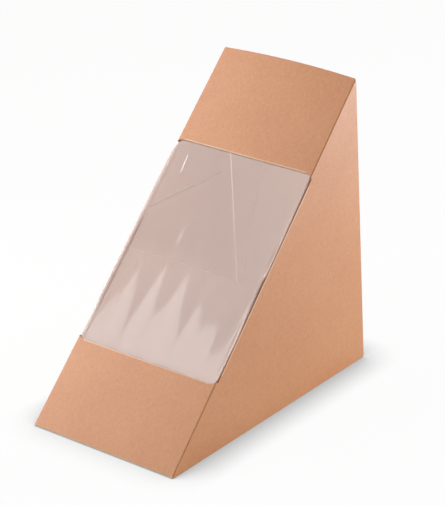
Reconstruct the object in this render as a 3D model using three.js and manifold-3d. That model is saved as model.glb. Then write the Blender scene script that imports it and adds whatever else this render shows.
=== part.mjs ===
// A wedge-shaped sandwich box folded from one sheet of kraft board, with a clear film window that
// wraps over both side creases and a back panel that swings on the rear crease of the base.
// Millimetres, +Z up, sloping window panel towards -Y, base on Z = 0.

import * as THREE from 'three';
import { mergeVertices } from 'three/addons/utils/BufferGeometryUtils.js';
import Module from 'manifold-3d';

const wasm = await Module();
wasm.setup();

// Folded size over the outer faces, with depth and height up to where the faces' planes meet
const frontWidth = 74.2;
const rearWidth = 68.6;
const depth = 125;
const height = 124;

// Board and its folds
const boardThickness = 0.45;
const foldInnerRadius = 0.1;
const dieCutCornerRadius = 1.2;
const topEdgeBow = 1.0;

// Window, in the flat blank: heights run up the slope from the front fold
const windowBottom = 40.4;
const windowHeight = 92.3;
const windowWrap = 1.3;
const windowCornerRadius = 4.5;

// Film sheet glued inside the window
const filmThickness = 0.06;
const filmMargin = 8;
const filmGlueGap = 0.15;
const filmFoldRadius = 0.4;
const filmToFlapGap = 0.35;

// Flaps folded up from the base and glued inside the triangular sides
const glueFlapHeight = 69.3;
const glueFlapSetback = 2.7;
const glueFlapRearGap = 5.9;
const glueFlapFrontRadius = 4;
const glueFlapRearRadius = 2;

// Back panel with its tuck flap
const lidBottomClearance = 0.3;
const lidTopClearance = 1.4;
const lidHingeGap = 0.3;
const tuckGap = 0.3;
const tuckLength = 28;
const tuckTaper = 2.5;
const tuckCornerRadius = 9;
const tuckFoldRadius = 0.6;

// Facets along a rounded corner
const arcSegments = 6;

const slopeLength = Math.hypot(depth, height);
const foldOuterRadius = foldInnerRadius + boardThickness;
const windowTop = windowBottom + windowHeight;
const reach = 4 * Math.max(depth, height, frontWidth);

// Unit directions: across, up the slope, and from the slope's outer face into the box
const across = new THREE.Vector3(1, 0, 0);
const upSlope = new THREE.Vector3(0, depth, height).normalize();
const inward = new THREE.Vector3(0, height, -depth).normalize();
const yAxis = new THREE.Vector3(0, 1, 0);
const zAxis = new THREE.Vector3(0, 0, 1);

// The footprint runs from the round of the front fold to the top edge standing past the back
const foldSetback = foldOuterRadius / Math.tan(Math.atan2(height, depth) / 2) - foldOuterRadius;
const topOverhang = topEdgeBow * upSlope.y + boardThickness * inward.y;
const frontY = -(depth + foldSetback + topOverhang) / 2;
const rearY = frontY + depth;
const frontEdge = new THREE.Vector3(0, frontY, 0);

// Side-view point that lies s up the slope and n inside its outer face
function slopePoint(s, n) {
  const y = frontY + s * upSlope.y + n * inward.y;
  const z = s * upSlope.z + n * inward.z;
  return new THREE.Vector2(y, z);
}

// Side-view point on the plane n inside the slope's outer face, at the given y
function slopePointAtY(y, n) {
  const s = (y - frontY - n * inward.y) / upSlope.y;
  return slopePoint(s, n);
}

// Side-view point on the plane n inside the slope's outer face, at the given height
function slopePointAtZ(z, n) {
  const s = (z - n * inward.z) / upSlope.z;
  return slopePoint(s, n);
}

// Closed outline through the corners, each rounded to its own radius
function roundedOutline(corners) {
  const shape = new THREE.Shape();
  corners.forEach(({ at, radius = 0 }, index) => {
    const before = corners[(index + corners.length - 1) % corners.length].at;
    const after = corners[(index + 1) % corners.length].at;
    const toBefore = before.clone().sub(at).normalize();
    const toAfter = after.clone().sub(at).normalize();
    const halfAngle = Math.acos(toBefore.dot(toAfter)) / 2;
    const tangent = radius / Math.tan(halfAngle);
    const start = at.clone().addScaledVector(toBefore, tangent);
    if (index === 0) shape.moveTo(start.x, start.y);
    else shape.lineTo(start.x, start.y);
    if (radius > 0) {
      const bisector = toBefore.clone().add(toAfter).normalize();
      const centre = at.clone().addScaledVector(bisector, radius / Math.sin(halfAngle));
      const end = at.clone().addScaledVector(toAfter, tangent);
      const startAngle = Math.atan2(start.y - centre.y, start.x - centre.x);
      const endAngle = Math.atan2(end.y - centre.y, end.x - centre.x);
      const clockwise = toBefore.cross(toAfter) > 0;
      shape.absarc(centre.x, centre.y, radius, startAngle, endAngle, clockwise);
    }
  });
  shape.closePath();
  return shape;
}

function corner(x, y, radius) {
  return { at: new THREE.Vector2(x, y), radius };
}

function cornerAt(point, radius) {
  return { at: point, radius };
}

// Solid swept from a flat outline: its x runs along u, its y along v, its thickness along w
function sweptSolid(shape, length, u, v, w, start) {
  const geometry = new THREE.ExtrudeGeometry(shape, {
    depth: length,
    bevelEnabled: false,
    curveSegments: arcSegments,
  });
  geometry.applyMatrix4(new THREE.Matrix4().makeBasis(u, v, w).setPosition(start));
  return solidOf(geometry);
}

function solidOf(geometry) {
  const bare = geometry.clone();
  bare.deleteAttribute('normal');
  bare.deleteAttribute('uv');
  const merged = mergeVertices(bare, 1e-5);
  const mesh = new wasm.Mesh({
    numProp: 3,
    vertProperties: merged.attributes.position.array,
    triVerts: Uint32Array.from(merged.index.array),
  });
  return new wasm.Manifold(mesh);
}

function geometryOf(solid) {
  const mesh = solid.getMesh();
  const geometry = new THREE.BufferGeometry();
  geometry.setAttribute('position', new THREE.Float32BufferAttribute(mesh.vertProperties, 3));
  geometry.setIndex(new THREE.BufferAttribute(mesh.triVerts, 1));
  geometry.computeVertexNormals();
  return geometry;
}

// Outline in the side view, swept across the box
function sweptAcross(shape, halfWidth) {
  const start = new THREE.Vector3(-halfWidth, 0, 0);
  return sweptSolid(shape, 2 * halfWidth, yAxis, zAxis, across, start);
}

// Outline drawn on the slope, cut square through the board from outside it to a depth inside it
function throughSlope(shape, innerDepth, outerDepth) {
  const start = frontEdge.clone().addScaledVector(inward, innerDepth);
  const outward = inward.clone().negate();
  return sweptSolid(shape, innerDepth + outerDepth, across, upSlope, outward, start);
}

// Section of a sheet creased twice into a channel, with its web at y = 0 and its legs along +y
function channelSection(halfWidth, legLength, thickness, innerRadius) {
  const outerRadius = innerRadius + thickness;
  const innerHalf = halfWidth - thickness;
  return roundedOutline([
    corner(-halfWidth, legLength),
    corner(-halfWidth, 0, outerRadius),
    corner(halfWidth, 0, outerRadius),
    corner(halfWidth, legLength),
    corner(innerHalf, legLength),
    corner(innerHalf, thickness, innerRadius),
    corner(-innerHalf, thickness, innerRadius),
    corner(-innerHalf, legLength),
  ]);
}

// The sides draw together towards the back: widths scale from the front fold to the rear edge
function drawnInAtRear(geometry) {
  const position = geometry.attributes.position;
  for (let i = 0; i < position.count; i += 1) {
    const share = (position.getY(i) - frontY) / depth;
    const scale = THREE.MathUtils.lerp(1, rearWidth / frontWidth, share);
    position.setX(i, position.getX(i) * scale);
  }
  geometry.computeVertexNormals();
  return geometry;
}

// Side view of the folded carton, with the slope's free edge standing past the rear
function cartonSideView() {
  const past = slopeLength + 2 * topEdgeBow;
  return roundedOutline([
    corner(frontY, 0, foldOuterRadius),
    corner(rearY, 0, dieCutCornerRadius),
    cornerAt(slopePointAtY(rearY, boardThickness)),
    cornerAt(slopePoint(past, boardThickness)),
    cornerAt(slopePoint(past, 0)),
  ]);
}

// Slope panel's outline with its gently bowed top edge
function slopeOutline() {
  const half = frontWidth / 2;
  const shape = new THREE.Shape();
  shape.moveTo(-half - 1, -1);
  shape.lineTo(half + 1, -1);
  shape.lineTo(half + 1, slopeLength - dieCutCornerRadius);
  shape.lineTo(half, slopeLength - dieCutCornerRadius);
  shape.quadraticCurveTo(half, slopeLength, half - dieCutCornerRadius, slopeLength);
  shape.quadraticCurveTo(0, slopeLength + 2 * topEdgeBow, -half + dieCutCornerRadius, slopeLength);
  shape.quadraticCurveTo(-half, slopeLength, -half, slopeLength - dieCutCornerRadius);
  shape.lineTo(-half - 1, slopeLength - dieCutCornerRadius);
  shape.closePath();
  return shape;
}

// Window in the flat blank: wider than the slope, so that it wraps over both creases
function windowOutline(centreX) {
  const half = frontWidth / 2 + windowWrap;
  return roundedOutline([
    corner(centreX - half, windowBottom, windowCornerRadius),
    corner(centreX + half, windowBottom, windowCornerRadius),
    corner(centreX + half, windowTop, windowCornerRadius),
    corner(centreX - half, windowTop, windowCornerRadius),
  ]);
}

// The stretch of the window that lies on the sides, folded down with them
function windowThroughSides() {
  const outline = windowOutline(-frontWidth / 2);
  const halfWidth = frontWidth / 2 + 1;
  const start = frontEdge.clone().setX(-halfWidth);
  return sweptSolid(outline, 2 * halfWidth, inward, upSlope, across, start);
}

// Base strip with its two glue flaps, in the side view
function baseSideView() {
  const flapRear = rearY - glueFlapRearGap;
  const baseRear = rearY - boardThickness - lidHingeGap;
  return roundedOutline([
    corner(frontY, 0),
    corner(baseRear, 0),
    corner(baseRear, boardThickness),
    corner(flapRear, boardThickness),
    corner(flapRear, glueFlapHeight, glueFlapRearRadius),
    cornerAt(slopePointAtZ(glueFlapHeight, glueFlapSetback), glueFlapFrontRadius),
    cornerAt(slopePointAtZ(boardThickness, glueFlapSetback)),
    corner(frontY, boardThickness),
  ]);
}

function makeCarton() {
  const half = frontWidth / 2;
  const slopeAndSides = sweptSolid(
    channelSection(half, reach, boardThickness, foldInnerRadius),
    reach,
    across,
    inward,
    upSlope,
    frontEdge,
  );
  const baseAndFlaps = sweptSolid(
    channelSection(half - boardThickness, reach, boardThickness, foldInnerRadius),
    depth,
    across,
    zAxis,
    yAxis.clone().negate(),
    new THREE.Vector3(0, rearY, 0),
  ).intersect(sweptAcross(baseSideView(), half));

  const folded = slopeAndSides
    .add(baseAndFlaps)
    .intersect(sweptAcross(cartonSideView(), half + 1))
    .intersect(throughSlope(slopeOutline(), reach, 1))
    .subtract(throughSlope(windowOutline(0), windowWrap, 1))
    .subtract(windowThroughSides());
  return drawnInAtRear(geometryOf(folded));
}

function makeWindowFilm() {
  const half = frontWidth / 2 - boardThickness - filmGlueGap;
  const fromOutside = boardThickness + filmGlueGap;
  const legLength = glueFlapSetback - filmToFlapGap - fromOutside;
  const section = channelSection(half, legLength, filmThickness, filmFoldRadius);
  const start = frontEdge.clone();
  start.addScaledVector(inward, fromOutside);
  start.addScaledVector(upSlope, windowBottom - filmMargin);
  const length = windowHeight + 2 * filmMargin;
  return drawnInAtRear(geometryOf(sweptSolid(section, length, across, inward, upSlope, start)));
}

function makeBackLid() {
  const innerHalf = rearWidth / 2 - boardThickness;
  const bottomHalf = innerHalf - lidBottomClearance;
  const topHalf = innerHalf - lidTopClearance;
  const tuckOuter = boardThickness + tuckGap;
  const tuckInner = tuckOuter + boardThickness;
  const faceY = rearY - boardThickness;
  const foldTop = slopePointAtY(rearY, tuckOuter);
  const tuckStart = slopeLength - tuckOuter;
  const tuckEnd = tuckStart - tuckLength;

  // Panel and tuck flap as one creased strip in the side view
  const sideView = roundedOutline([
    corner(faceY, 0),
    corner(rearY, 0, boardThickness * 0.8),
    cornerAt(foldTop, tuckFoldRadius),
    cornerAt(slopePoint(tuckEnd, tuckOuter)),
    cornerAt(slopePoint(tuckEnd, tuckInner)),
    cornerAt(slopePointAtY(faceY, tuckInner)),
  ]);

  const panelOutline = roundedOutline([
    corner(-bottomHalf, -1),
    corner(bottomHalf, -1),
    corner(topHalf, height),
    corner(-topHalf, height),
  ]);
  const panelRoom = sweptSolid(
    panelOutline,
    depth,
    across,
    zAxis,
    yAxis.clone().negate(),
    new THREE.Vector3(0, rearY + 1, 0),
  );

  const tuckOutline = roundedOutline([
    corner(-topHalf + tuckTaper, tuckEnd, tuckCornerRadius),
    corner(topHalf - tuckTaper, tuckEnd, tuckCornerRadius),
    corner(topHalf, tuckStart),
    corner(topHalf, slopeLength + reach),
    corner(-topHalf, slopeLength + reach),
    corner(-topHalf, tuckStart),
  ]);
  const tuckRoom = throughSlope(tuckOutline, tuckInner + boardThickness, 1);

  // Everything deeper in the box than the tuck flap is left to the panel
  const panelSide = roundedOutline([
    corner(-reach, -reach),
    corner(reach, -reach),
    corner(reach, reach),
    corner(-reach, reach),
  ]);
  const deeperRoom = throughSlope(panelSide, reach, -tuckInner);

  const lid = sweptAcross(sideView, frontWidth / 2)
    .intersect(panelRoom)
    .intersect(tuckRoom.add(deeperRoom));
  return geometryOf(lid);
}

const kraft = new THREE.MeshStandardMaterial({ color: 0xd3a27c, roughness: 0.88, metalness: 0 });
const film = new THREE.MeshStandardMaterial({
  color: 0xe4dcd6,
  roughness: 0.18,
  metalness: 0,
  transparent: true,
  opacity: 0.45,
});

const group = new THREE.Group();

function addPiece(name, geometry, material) {
  const mesh = new THREE.Mesh(geometry, material);
  mesh.name = name;
  group.add(mesh);
}

addPiece('carton', makeCarton(), kraft);
addPiece('window_film', makeWindowFilm(), film);
addPiece('back_lid', makeBackLid(), kraft);

export default group;
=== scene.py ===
# Windowed sandwich box: one die-cut sheet of kraft board, folded up, with a clear film window
# Metres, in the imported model's frame: window towards -Y, base on Z = 0

import math

import bmesh
import bpy
from mathutils import Matrix, Vector


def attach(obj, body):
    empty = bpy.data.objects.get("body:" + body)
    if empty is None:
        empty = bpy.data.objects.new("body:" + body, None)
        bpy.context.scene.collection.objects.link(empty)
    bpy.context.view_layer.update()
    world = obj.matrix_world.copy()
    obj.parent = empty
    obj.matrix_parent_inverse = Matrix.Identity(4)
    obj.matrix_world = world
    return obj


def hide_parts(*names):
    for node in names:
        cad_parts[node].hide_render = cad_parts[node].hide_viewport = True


mm = 0.001

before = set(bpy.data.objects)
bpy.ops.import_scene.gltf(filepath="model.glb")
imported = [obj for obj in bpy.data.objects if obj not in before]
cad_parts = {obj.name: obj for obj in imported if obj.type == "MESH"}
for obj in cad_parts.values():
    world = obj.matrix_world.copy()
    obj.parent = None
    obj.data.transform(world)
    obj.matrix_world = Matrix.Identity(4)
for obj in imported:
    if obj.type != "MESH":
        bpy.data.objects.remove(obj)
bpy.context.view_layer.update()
print("frame loaded:", ", ".join(sorted(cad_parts)))

# Folded sizes that the film and the board's creases follow
carton = {
    "frontY": -63.406 * mm,
    "depth": 125 * mm,
    "height": 124 * mm,
    "frontHalfWidth": 37.1 * mm,
    "rearHalfWidth": 34.3 * mm,
    "board": 0.45 * mm,
    "windowBottom": 40.4 * mm,
    "windowTop": 132.7 * mm,
    "windowCorner": 4.5 * mm,
    "windowWrap": 1.3 * mm,
}

slopeLength = math.hypot(carton["depth"], carton["height"])
upSlope = Vector((0, carton["depth"], carton["height"])) / slopeLength
inward = Vector((0, carton["height"], -carton["depth"])) / slopeLength
slopeAngle = math.atan2(carton["height"], carton["depth"])
frontEdge = Vector((0, carton["frontY"], 0))


def drawnIn(point):
    # the box is narrower at the rear, so widths shrink with y
    share = (point.y - carton["frontY"]) / carton["depth"]
    rearShare = carton["rearHalfWidth"] / carton["frontHalfWidth"]
    return Vector((point.x * (1 + share * (rearShare - 1)), point.y, point.z))


def fadeBetween(value, start, end):
    t = min(1, max(0, (value - start) / (end - start)))
    return t * t * (3 - 2 * t)


# Camera, at the photograph's angle

# angles in degrees, lens in mm for a sensor 36 mm wide
camera = {
    "target": Vector((14.35, -1.406, 66.63)) * mm,
    "azimuth": 41.555,
    "elevation": 24.554,
    "roll": -2.997,
    "distance": 986.6 * mm,
    "lens": 178.06,
}


def makeCamera():
    azimuth = math.radians(camera["azimuth"])
    elevation = math.radians(camera["elevation"])
    back = Vector(
        (
            math.sin(azimuth) * math.cos(elevation),
            -math.cos(azimuth) * math.cos(elevation),
            math.sin(elevation),
        )
    )
    level = Vector((math.cos(azimuth), math.sin(azimuth), 0))
    turn = Matrix.Rotation(math.radians(camera["roll"]), 3, back)
    right = turn @ level
    up = back.cross(right)
    data = bpy.data.cameras.new("camera")
    data.lens = camera["lens"]
    data.sensor_width = 36
    data.clip_start = 0.01
    data.clip_end = 20
    made = bpy.data.objects.new("camera", data)
    made.matrix_world = Matrix(
        (
            (right.x, up.x, back.x, 0),
            (right.y, up.y, back.y, 0),
            (right.z, up.z, back.z, 0),
            (0, 0, 0, 1),
        )
    )
    made.location = camera["target"] + back * camera["distance"]
    bpy.context.scene.collection.objects.link(made)
    bpy.context.scene.camera = made


makeCamera()
print("camera placed")


# Node helpers


def linearColour(hexColour):
    parts = [int(hexColour[i : i + 2], 16) / 255 for i in (1, 3, 5)]
    linear = [p / 12.92 if p <= 0.04045 else ((p + 0.055) / 1.055) ** 2.4 for p in parts]
    return (*linear, 1)


def addNode(tree, kind, inputs=None, **settings):
    # a socket given as an input is linked, and anything else is its value
    node = tree.nodes.new(kind)
    for name, value in settings.items():
        setattr(node, name, value)
    for key, value in (inputs or {}).items():
        if isinstance(value, bpy.types.NodeSocket):
            tree.links.new(value, node.inputs[key])
        else:
            node.inputs[key].default_value = value
    return node


def newMaterial(name):
    material = bpy.data.materials.new(name)
    material.use_nodes = True
    material.node_tree.nodes.clear()
    return material, material.node_tree


def calculate(tree, operation, *values):
    inputs = dict(enumerate(values))
    return addNode(tree, "ShaderNodeMath", inputs, operation=operation).outputs[0]


def multiply(tree, first, second):
    return calculate(tree, "MULTIPLY", first, second)


def larger(tree, first, second):
    return calculate(tree, "MAXIMUM", first, second)


def dot(tree, first, second):
    return addNode(
        tree, "ShaderNodeVectorMath", {0: first, 1: second}, operation="DOT_PRODUCT"
    ).outputs["Value"]


def mapped(tree, value, start, end, low=0, high=1, clamp=True):
    # start to end becomes low to high
    return addNode(
        tree,
        "ShaderNodeMapRange",
        {"Value": value, "From Min": start, "From Max": end, "To Min": low, "To Max": high},
        clamp=clamp,
    ).outputs["Result"]


def between(tree, value, low, high, soft=0.04 * mm):
    # 1 where a value lies between two others
    above = mapped(tree, value, low - soft, low + soft)
    below = mapped(tree, value, high + soft, high - soft)
    return multiply(tree, above, below)


def mixed(tree, factor, first, second):
    return addNode(
        tree, "ShaderNodeMix", {"Factor": factor, "A": first, "B": second}, data_type="RGBA"
    ).outputs["Result"]


def noise(tree, place, scale, detail, roughness=0.5):
    return addNode(
        tree,
        "ShaderNodeTexNoise",
        {"Vector": place, "Scale": scale, "Detail": detail, "Roughness": roughness},
    ).outputs["Fac"]


# Kraft board: unbleached pulp, calendered on one side, so it is matt with a faint sheen

kraft = {
    "base": "#cb8855",
    "light": "#d49565",
    "dark": "#c07b48",
    "fleck": "#8f5c35",
    # colour of the painted shade along the slope's side creases
    "creaseShade": "#9c6238",
    # paler middle of the board at its cut edges, also used for the painted highlights
    "paleEdgeAndHighlight": "#e8c8a8",
    # colour of the painted shadow along the flap's free edges
    "gapShade": "#4a1a0c",
    "fibreWidth": 0.3 * mm,  # real fibres are 0.03 mm wide, drawn coarser so that they show
    "fibreLength": 3 * mm,
    "mottle": 1.0 * mm,
    "cloud": 28 * mm,
    "cloudShare": 0.5,
    "pulpRange": (0.85, 1.65),
    "fleckSpacing": 2.6 * mm,
    "fleckEdge": (0.1, 0.04),  # shares of the spacing
    "fleckStrength": 0.35,
    "cutFacing": (0.9, 0.96),
    # width and strength of the painted shade along the side creases
    "creaseShadeWidth": 0.35 * mm,
    "creaseShadeStrength": 0.55,
    # width and strength of the painted highlight along the window's edges
    "rimHighlightWidth": 0.5 * mm,
    "rimHighlightStrength": 0.7,
    # width, core and strength of the painted highlight along the base-to-flap fold
    "foldHighlightWidth": 0.9 * mm,
    "foldHighlightCore": 0.2 * mm,
    "foldHighlightStrength": 0.8,
    "flapTop": 69.3 * mm,
    "flapRear": 55.7 * mm,
    "flapSetback": 2.7 * mm,
    # width of the painted shadow along the flap's edges
    "gapShadeWidth": 1.0 * mm,
    "wallFace": (0.8, 1.5),  # boards in from the side's outer face, around its inner one
    "roughness": 0.45,
    "roughnessSpread": 0.06,
    "ior": 1.6,
    "bump": 0.25,
    "bumpDepth": 0.05 * mm,
}


def makeKraft(name, tilt, hasEdgeMarksAndPaintedLight):
    material, tree = newMaterial(name)
    place = addNode(tree, "ShaderNodeTexCoord").outputs["Object"]

    # fibres lie along the sheet, which the tilt turns up from the floor
    fibreSize = (kraft["fibreWidth"], kraft["fibreLength"], kraft["fibreWidth"])
    fibrePlace = addNode(
        tree,
        "ShaderNodeMapping",
        {"Vector": place, "Rotation": (tilt, 0, 0), "Scale": fibreSize},
        vector_type="TEXTURE",
    ).outputs["Vector"]
    fibres = noise(tree, fibrePlace, 1, 3, 0.65)
    mottle = noise(tree, place, 1 / kraft["mottle"], 4, 0.7)
    clouds = noise(tree, place, 1 / kraft["cloud"], 2)
    pulp = calculate(tree, "ADD", fibres, mottle)
    pulp = calculate(tree, "MULTIPLY_ADD", clouds, kraft["cloudShare"], pulp)
    ramp = addNode(tree, "ShaderNodeValToRGB", {"Fac": mapped(tree, pulp, *kraft["pulpRange"])})
    ramp.color_ramp.elements[0].color = linearColour(kraft["dark"])
    ramp.color_ramp.elements[1].color = linearColour(kraft["light"])
    ramp.color_ramp.elements.new(0.5).color = linearColour(kraft["base"])

    # sparse darker bits of bark left in the pulp
    spots = addNode(
        tree, "ShaderNodeTexVoronoi", {"Vector": place, "Scale": 1 / kraft["fleckSpacing"]}
    ).outputs["Distance"]
    isFleck = mapped(tree, spots, *kraft["fleckEdge"], 0, kraft["fleckStrength"])
    colour = mixed(tree, isFleck, ramp.outputs["Color"], linearColour(kraft["fleck"]))

    # pale cut edges, with painted highlights along the window's edges and the base fold, painted
    # shade along the side creases and painted shadow along the flap's edges
    if hasEdgeMarksAndPaintedLight:
        at = placeOnCarton(tree, place)
        # painted highlight along the window's edges
        rimHighlight = multiply(tree, paintedRimHighlight(tree, at), kraft["rimHighlightStrength"])
        # painted highlights along the base fold and the window's edges
        paintedHighlight = larger(tree, paintedFoldHighlight(tree, at), rimHighlight)
        # cut edges paler, partly the board's own core and partly a painted highlight
        colour = paleCutEdgesAndHighlight(tree, colour)
        # painted shade along the slope's side creases
        colour = mixed(tree, paintedCreaseShade(tree, at), colour, linearColour(kraft["creaseShade"]))
        # painted highlights in the pale edge colour
        colour = mixed(tree, paintedHighlight, colour, linearColour(kraft["paleEdgeAndHighlight"]))
        # painted shadow along the flap's free edges
        colour = mixed(tree, paintedFlapShadow(tree, at), colour, linearColour(kraft["gapShade"]))

    smoothest = kraft["roughness"] - kraft["roughnessSpread"]
    roughest = kraft["roughness"] + kraft["roughnessSpread"]
    roughness = mapped(tree, mottle, 0, 1, smoothest, roughest)
    bump = addNode(
        tree,
        "ShaderNodeBump",
        {"Height": fibres, "Strength": kraft["bump"], "Distance": kraft["bumpDepth"]},
    ).outputs["Normal"]
    shader = addNode(
        tree,
        "ShaderNodeBsdfPrincipled",
        {"Base Color": colour, "Roughness": roughness, "Normal": bump, "IOR": kraft["ior"]},
    ).outputs["BSDF"]
    addNode(tree, "ShaderNodeOutputMaterial", {"Surface": shader})
    return material


def paleCutEdgesAndHighlight(tree, colour):
    # cut edges show the paler middle of the board, painted lighter still as a highlight where
    # they catch the light: they look up or down the slope, or back
    facing = addNode(tree, "ShaderNodeTexCoord").outputs["Normal"]
    upOrDown = calculate(tree, "ABSOLUTE", dot(tree, facing, upSlope))
    backOrFront = calculate(tree, "ABSOLUTE", dot(tree, facing, (0, 1, 0)))
    isCut = mapped(tree, larger(tree, upOrDown, backOrFront), *kraft["cutFacing"])
    return mixed(tree, isCut, colour, linearColour(kraft["paleEdgeAndHighlight"]))


def placeOnCarton(tree, place):
    # how far a point lies inside the side's outer face and inside the slope's, and how far up
    # the slope it is
    parts = addNode(tree, "ShaderNodeSeparateXYZ", {"Vector": place}).outputs
    halfWidth = mapped(
        tree,
        parts["Y"],
        carton["frontY"],
        carton["frontY"] + carton["depth"],
        carton["frontHalfWidth"],
        carton["rearHalfWidth"],
        clamp=False,
    )
    out = calculate(tree, "ABSOLUTE", parts["X"])
    fromEdge = addNode(
        tree, "ShaderNodeVectorMath", {0: place, 1: frontEdge}, operation="SUBTRACT"
    ).outputs["Vector"]
    return {
        "fromSide": calculate(tree, "SUBTRACT", halfWidth, out),
        "fromSlope": dot(tree, fromEdge, inward),
        "along": dot(tree, fromEdge, upSlope),
        "y": parts["Y"],
        "z": parts["Z"],
    }


def paintedRimHighlight(tree, at):
    # a painted highlight along the window's straight edges, where the board's edge catches the
    # light
    low, high = carton["windowBottom"], carton["windowTop"]
    corner, wrap, width = carton["windowCorner"], carton["windowWrap"], kraft["rimHighlightWidth"]
    ends = larger(
        tree,
        between(tree, at["along"], low - width, low),
        between(tree, at["along"], high, high + width),
    )
    ends = multiply(tree, ends, between(tree, at["fromSide"], corner - wrap, carton["depth"]))
    ends = multiply(tree, ends, between(tree, at["fromSlope"], -width, width / 2))
    sides = multiply(
        tree,
        between(tree, at["fromSlope"], wrap, wrap + width),
        between(tree, at["along"], low + corner, high - corner),
    )
    sides = multiply(tree, sides, between(tree, at["fromSide"], -width, width / 2))
    return larger(tree, ends, sides)


def paintedFoldHighlight(tree, at):
    # a painted highlight along the fold from base to flap, on the inside, two boards in and one
    # board up
    foldAt = (2 * carton["board"], carton["board"], 0)
    section = addNode(
        tree, "ShaderNodeCombineXYZ", {"X": at["fromSide"], "Y": at["z"]}
    ).outputs["Vector"]
    fromFold = addNode(
        tree, "ShaderNodeVectorMath", {0: section, 1: foldAt}, operation="DISTANCE"
    ).outputs["Value"]
    width, core = kraft["foldHighlightWidth"], kraft["foldHighlightCore"]
    return mapped(tree, fromFold, width, core, 0, kraft["foldHighlightStrength"])


def paintedFlapShadow(tree, at):
    # a dark line of painted shadow along the flap's free edges, as if they stood off the side in
    # a gap
    top, setback, width = kraft["flapTop"], kraft["flapSetback"], kraft["gapShadeWidth"]
    overTop = multiply(
        tree,
        between(tree, at["z"], top, top + width),
        between(tree, at["fromSlope"], setback, carton["depth"]),
    )
    overTop = multiply(
        tree, overTop, between(tree, at["y"], -carton["depth"], kraft["flapRear"])
    )
    before = multiply(
        tree,
        between(tree, at["fromSlope"], setback - width, setback),
        between(tree, at["z"], carton["board"], top + width),
    )
    nearest, farthest = [boards * carton["board"] for boards in kraft["wallFace"]]
    onWall = between(tree, at["fromSide"], nearest, farthest)
    return multiply(tree, larger(tree, overTop, before), onWall)


def paintedCreaseShade(tree, at):
    # a narrow darker line along the slope's side creases: painted shade of the rounded folds
    fromCrease = larger(tree, at["fromSide"], at["fromSlope"])
    return mapped(tree, fromCrease, kraft["creaseShadeWidth"], 0, 0, kraft["creaseShadeStrength"])


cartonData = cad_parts["carton"].data
cartonData.materials.clear()
cartonData.materials.append(makeKraft("kraft_board_creased", slopeAngle, True))
print("kraft board made")


# Back panel with its tuck flap, let out a little at the top, where it springs against the sides

backPanel = {
    "spread": 0.024,  # share that it widens by, from the base crease to the top
}


def makeBackPanel():
    shape = bmesh.new()
    shape.from_mesh(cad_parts["back_lid"].data)
    bmesh.ops.remove_doubles(shape, verts=shape.verts[:], dist=0.001 * mm)
    bmesh.ops.recalc_face_normals(shape, faces=shape.faces[:])
    for vert in shape.verts:
        vert.co.x *= 1 + backPanel["spread"] * vert.co.z / carton["height"]
    data = bpy.data.meshes.new("back_panel")
    shape.to_mesh(data)
    shape.free()
    panel = bpy.data.objects.new("back_panel", data)
    bpy.context.scene.collection.objects.link(panel)
    data.materials.append(makeKraft("kraft_board_lid", math.pi / 2, False))
    return panel


panelSheet = makeBackPanel()
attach(panelSheet, "lid")
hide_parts("back_lid")
print("back panel made")


# Window film: a thin clear film bent over both creases, rippled where its lower edge is glued

# numbers without a unit are mm on the flat sheet, across from its middle and up the slope
film = {
    "bottom": 32.4 * mm,
    "top": 140.7 * mm,
    "depth": 0.6 * mm,  # from the slope's outer face to the film's
    "halfWidth": 36.5 * mm,
    "foldRadius": 0.46 * mm,
    "legDepth": 1.75 * mm,
    "thickness": 0.06 * mm,
    "cellsAcross": 290,
    "cellsUp": 130,
    # how far up each ripple catches the light: across, up
    "ripples": [
        (-36.5, 52), (-32, 57), (-28.8, 65.5), (-27.3, 64), (-25.8, 72), (-24.2, 76),
        (-22.8, 72), (-20.5, 66), (-18.8, 58), (-17.4, 51), (-16.6, 58), (-15, 66),
        (-13.4, 74), (-11.8, 81), (-10.6, 75), (-9, 67), (-7.6, 62), (-6.4, 60.5),
        (-5, 62.5), (-3.5, 64), (-1.8, 70), (-0.3, 75.5), (0.9, 78.5), (2.2, 74),
        (4, 68), (6.5, 62), (8.6, 57.5), (9.8, 54), (10.8, 59), (12, 65.5), (13.4, 69),
        (15, 66), (16.8, 62), (18.2, 59.5), (20, 60), (23, 62), (26, 62), (27.5, 57),
        (28.5, 51), (31, 52.5), (34, 54.5), (36.5, 56),
    ],
    "rippleLean": 0.5564,
    "rippleLevel": 63.17,
    "rippleGain": 0.003065,  # slope of the film for each mm of ripple height
    "rippleFade": (86, 112),
    "rippleShift": 1.0,
    "rippleStep": 0.1,
    "gluedFrom": (36.5, 41),
    # soft ridges: points along it from the top down, half width, height outwards
    "ridges": [
        ([(-28.4, 134), (-26.4, 112)], 1.1, 0.1),
        ([(-13.7, 135), (-13.9, 120)], 1.1, 0.1),
    ],
    # how far each fold bulges out through the window's edge: up, out
    "leftBulge": [(50, 0), (60, 0.8), (115, 1.3), (127, 1.2), (131.5, 0)],
    "rightBulge": [
        (41, 0), (44, 0.6), (60, 0.9), (75, 0.3), (84, 0), (86, 0.2), (88.5, 0.9),
        (105, 0.8), (120, 0.4), (131.5, 0),
    ],
    "bulgeInside": 1.1,  # how far the bulge spreads from the fold, on the window's side
    "bulgeOutside": 0.35,
    "bulgeLift": 0.3,  # share of the bulge that also lifts the film off the slope
    "edgeFade": 1.5 * mm,
}


def readOff(points, place):
    if place <= points[0][0]:
        return points[0][1]
    for (x0, y0), (x1, y1) in zip(points, points[1:]):
        if place <= x1:
            return y0 + (y1 - y0) * (place - x0) / (x1 - x0)
    return points[-1][1]


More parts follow.
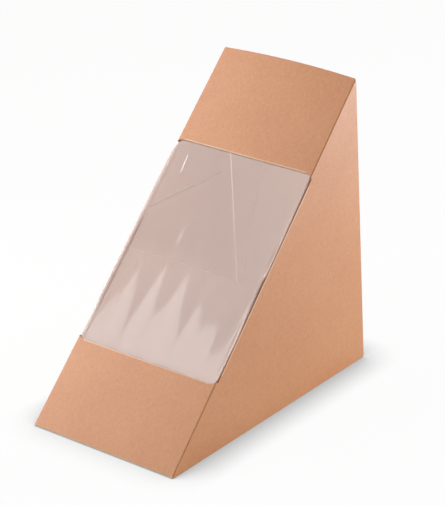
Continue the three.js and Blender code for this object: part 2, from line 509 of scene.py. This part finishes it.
def rippleProfile():
    # depth of the ripples across the film, from the slopes that reach each height
    step = film["rippleStep"]
    half = film["halfWidth"] / mm
    slopes = []
    for i in range(round(2 * half / step) + 1):
        across = -half + i * step
        level = film["rippleLevel"] - film["rippleLean"] * across
        height = readOff(film["ripples"], across + film["rippleShift"])
        slopes.append(-(height - level) * film["rippleGain"])
    mean = sum(slopes) / len(slopes)
    depths = [0]
    for slope in slopes[1:]:
        depths.append(depths[-1] + (slope - mean) * step)
    return depths


rippleDepths = rippleProfile()
print("ripple depth", round(min(rippleDepths), 3), "to", round(max(rippleDepths), 3), "mm")


def rippleAt(across):
    place = (across + film["halfWidth"] / mm) / film["rippleStep"]
    i = min(len(rippleDepths) - 2, max(0, int(place)))
    t = min(1, max(0, place - i))
    return rippleDepths[i] * (1 - t) + rippleDepths[i + 1] * t


def asideOf(points, across, up):
    # how far right of a line that runs down the sheet, and how strong the line is at this height
    low, high = points[-1][1], points[0][1]
    if not low < up < high:
        return 0, 0
    line = [(place, side) for side, place in reversed(points)]
    return across - readOff(line, up), math.sin(math.pi * (up - low) / (high - low))


def ridgeAt(across, up):
    high = 0
    for points, halfWidth, height in film["ridges"]:
        aside, strength = asideOf(points, across, up)
        high += height * strength * math.exp(-((aside / halfWidth) ** 2))
    return high


def filmSag(across, up):
    # mm inwards from the flat film
    fade = 1 - fadeBetween(up, *film["rippleFade"])
    glued = fadeBetween(up, *film["gluedFrom"])
    return rippleAt(across) * fade * glued - ridgeAt(across, up)


def filmPoint(flat):
    # a point of the flat sheet, x across and y up, bent over both creases
    radius = film["foldRadius"]
    web = film["halfWidth"] - radius
    arc = radius * math.pi / 2
    out = abs(flat.x)
    if out <= web:
        x, deep = out, 0
    elif out <= web + arc:
        turn = (out - web) / radius
        x = web + radius * math.sin(turn)
        deep = radius * (1 - math.cos(turn))
    else:
        x = film["halfWidth"]
        deep = radius + out - web - arc
    fromFold = (out - web - arc / 2) / mm
    width = film["bulgeInside"] if fromFold < 0 else film["bulgeOutside"]
    points = film["leftBulge"] if flat.x < 0 else film["rightBulge"]
    bulge = readOff(points, flat.y / mm) * math.exp(-((fromFold / width) ** 2)) * mm
    x = math.copysign(x + bulge, flat.x)
    edge = 1 - fadeBetween(out, web - film["edgeFade"], web)
    deep += film["depth"] - film["bulgeLift"] * bulge
    deep += edge * filmSag(x / mm, flat.y / mm) * mm
    return drawnIn(frontEdge + upSlope * flat.y + inward * deep + Vector((x, 0, 0)))


def makeFilm():
    web = film["halfWidth"] - film["foldRadius"]
    arc = film["foldRadius"] * math.pi / 2
    half = web + arc + film["legDepth"] - film["foldRadius"]
    middle = (film["bottom"] + film["top"]) / 2
    tall = film["top"] - film["bottom"]
    shape = bmesh.new()
    bmesh.ops.create_grid(
        shape,
        x_segments=film["cellsAcross"],
        y_segments=film["cellsUp"],
        size=0.5,
        matrix=Matrix.Translation((0, middle, 0)) @ Matrix.Diagonal((2 * half, tall, 1, 1)),
    )
    for side in (-1, 1):
        for part in (0, 0.25, 0.5, 0.75, 1):
            bmesh.ops.bisect_plane(
                shape,
                geom=shape.verts[:] + shape.edges[:] + shape.faces[:],
                dist=0.00001 * mm,
                plane_co=(side * (web + part * arc), 0, 0),
                plane_no=(1, 0, 0),
            )
    for vert in shape.verts:
        vert.co = filmPoint(vert.co)
    for face in shape.faces:
        face.smooth = True
    data = bpy.data.meshes.new("window_film_sheet")
    shape.to_mesh(data)
    shape.free()
    sheet = bpy.data.objects.new("window_film_sheet", data)
    bpy.context.scene.collection.objects.link(sheet)
    solidify = sheet.modifiers.new("thickness", "SOLIDIFY")
    solidify.thickness = film["thickness"]
    solidify.offset = -1
    return sheet


# Clear polypropylene film: glossy, with a slight milky haze over what lies behind it

filmLook = {
    "haze": "#f0d2c6",
    "alpha": 0.34,  # of one face, and the sheet has two
    "roughness": 0.05,
    # real film has 1.49: both are raised so that its reflections are as strong as photographed
    "ior": 1.8,
    "coatIor": 1.6,
    "cornerSide": (1, 0, 0.45),
    "cornerSpan": (33 * mm, 83 * mm),
    "cornerHaze": 1.3,
    "rippleSpan": (62 * mm, 56 * mm),  # height above the floor
    "rippleHaze": 1.15,
    "creaseSpan": (1.4 * mm, 0.3 * mm),  # in from the side's outer face
    "creaseAlpha": 0.6,
}


def makeFilmMaterial():
    material, tree = newMaterial("clear_polypropylene_film")
    place = addNode(tree, "ShaderNodeTexCoord").outputs["Object"]
    at = placeOnCarton(tree, place)
    # the haze thickens towards the sheet's upper right corner, and over the ripples, where
    # thinner haze renders with a grain
    plain = filmLook["alpha"]
    towards = dot(tree, place, filmLook["cornerSide"])
    atCorner = mapped(
        tree, towards, *filmLook["cornerSpan"], plain, plain * filmLook["cornerHaze"]
    )
    atRipples = mapped(
        tree, at["z"], *filmLook["rippleSpan"], plain, plain * filmLook["rippleHaze"]
    )
    # and it whitens where it is creased at the folds
    creased = mapped(
        tree, at["fromSide"], *filmLook["creaseSpan"], 0, filmLook["creaseAlpha"]
    )
    haze = larger(tree, larger(tree, atCorner, atRipples), creased)
    shader = addNode(
        tree,
        "ShaderNodeBsdfPrincipled",
        {
            "Base Color": linearColour(filmLook["haze"]),
            "Alpha": haze,
            "Roughness": filmLook["roughness"],
            "IOR": filmLook["ior"],
            "Coat Weight": 1,
            "Coat Roughness": filmLook["roughness"],
            "Coat IOR": filmLook["coatIor"],
        },
    ).outputs["BSDF"]
    addNode(tree, "ShaderNodeOutputMaterial", {"Surface": shader})
    return material


filmSheet = makeFilm()
filmSheet.data.materials.append(makeFilmMaterial())
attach(filmSheet, "box")
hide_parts("window_film")
print("window film made")


# Floor, world and lamps

studio = {
    "floor": "#f4f4f4",
    "floorDrop": 0.05 * mm,
    "floorGlow": 0.95,  # share of plain white that the camera sees
    "worldLight": 0.34,
    "worldColour": "#ffeedd",
    "contactShadow": 16 * mm,
}

# sizes in metres and power in watts; "up" is the way that a lamp's height runs
lamps = {
    "softbox": {
        "aim": Vector((0, -18.1, 44.1)) * mm,
        "at": Vector((-313, -257, 203)) * mm,
        "up": Vector((0.475, 0.47, 0.744)),
        "width": 0.42,
        "height": 0.3,
        "power": 0.58,
        "colour": "#f8fcff",
    },
    "side_lamp": {
        "aim": Vector((0, 0, 62)) * mm,
        "at": Vector((-230, -62.5, 212)) * mm,
        "up": upSlope,
        "width": 0.06,
        "height": 0.36,
        "power": 0.44,
        "colour": "#f8fcff",
    },
    "scrim": {
        "aim": Vector((-234, 53, 115.5)) * mm,
        "at": Vector((-234, -158.3, 328.5)) * mm,
        "up": upSlope,
        "width": 0.2,
        "height": 0.22,
        "power": 0.25,
        "colour": "#fffaf6",
    },
    "fill": {
        "aim": Vector((20, 20, 60)) * mm,
        "at": Vector((330, 400, 60)) * mm,
        "up": Vector((0, 0, 1)),
        "width": 0.3,
        "height": 0.3,
        "power": 3.85,
        "colour": "#dcecff",
    },
}


def seenDirectly(tree):
    # 1 for what the camera sees, also in gloss and through clear parts
    rays = addNode(tree, "ShaderNodeLightPath").outputs
    inGloss = larger(tree, rays["Is Camera Ray"], rays["Is Glossy Ray"])
    return larger(tree, inGloss, rays["Is Transmission Ray"])


def makeWorld():
    world = bpy.data.worlds.new("studio")
    world.use_nodes = True
    bpy.context.scene.world = world
    tree = world.node_tree
    tree.nodes.clear()
    seen = seenDirectly(tree)
    colour = mixed(tree, seen, linearColour(studio["worldColour"]), (1, 1, 1, 1))
    strength = mapped(tree, seen, 0, 1, studio["worldLight"], 1)
    background = addNode(
        tree, "ShaderNodeBackground", {"Color": colour, "Strength": strength}
    ).outputs["Background"]
    addNode(tree, "ShaderNodeOutputWorld", {"Surface": background})


def makeFloor():
    shape = bmesh.new()
    bmesh.ops.create_grid(
        shape,
        x_segments=1,
        y_segments=1,
        size=4,
        matrix=Matrix.Translation((0, 0, -studio["floorDrop"])),
    )
    data = bpy.data.meshes.new("floor")
    shape.to_mesh(data)
    shape.free()
    floor = bpy.data.objects.new("floor", data)
    bpy.context.scene.collection.objects.link(floor)
    material, tree = newMaterial("pale_studio_floor")
    glow = multiply(tree, seenDirectly(tree), studio["floorGlow"])
    matt = addNode(
        tree, "ShaderNodeBsdfDiffuse", {"Color": linearColour(studio["floor"])}
    ).outputs["BSDF"]
    contact = addNode(
        tree,
        "ShaderNodeAmbientOcclusion",
        {"Distance": studio["contactShadow"]},
        samples=8,
    ).outputs["AO"]
    white = addNode(
        tree, "ShaderNodeEmission", {"Color": (1, 1, 1, 1), "Strength": contact}
    ).outputs["Emission"]
    surface = addNode(
        tree, "ShaderNodeMixShader", {"Fac": glow, 1: matt, 2: white}
    ).outputs["Shader"]
    addNode(tree, "ShaderNodeOutputMaterial", {"Surface": surface})
    data.materials.append(material)


def makeLamp(name, lamp):
    data = bpy.data.lights.new(name, "AREA")
    data.shape = "RECTANGLE"
    data.size = lamp["width"]
    data.size_y = lamp["height"]
    data.energy = lamp["power"]
    data.color = linearColour(lamp["colour"])[:3]
    made = bpy.data.objects.new(name, data)
    back = (lamp["at"] - lamp["aim"]).normalized()
    up = (lamp["up"] - back * lamp["up"].dot(back)).normalized()
    right = up.cross(back)
    made.matrix_world = Matrix(
        (
            (right.x, up.x, back.x, lamp["at"].x),
            (right.y, up.y, back.y, lamp["at"].y),
            (right.z, up.z, back.z, lamp["at"].z),
            (0, 0, 0, 1),
        )
    )
    made.visible_camera = False
    bpy.context.scene.collection.objects.link(made)


makeWorld()
makeFloor()
for lampName, lampSettings in lamps.items():
    makeLamp(lampName, lampSettings)
bpy.context.scene.view_settings.view_transform = "Standard"
print("studio made")
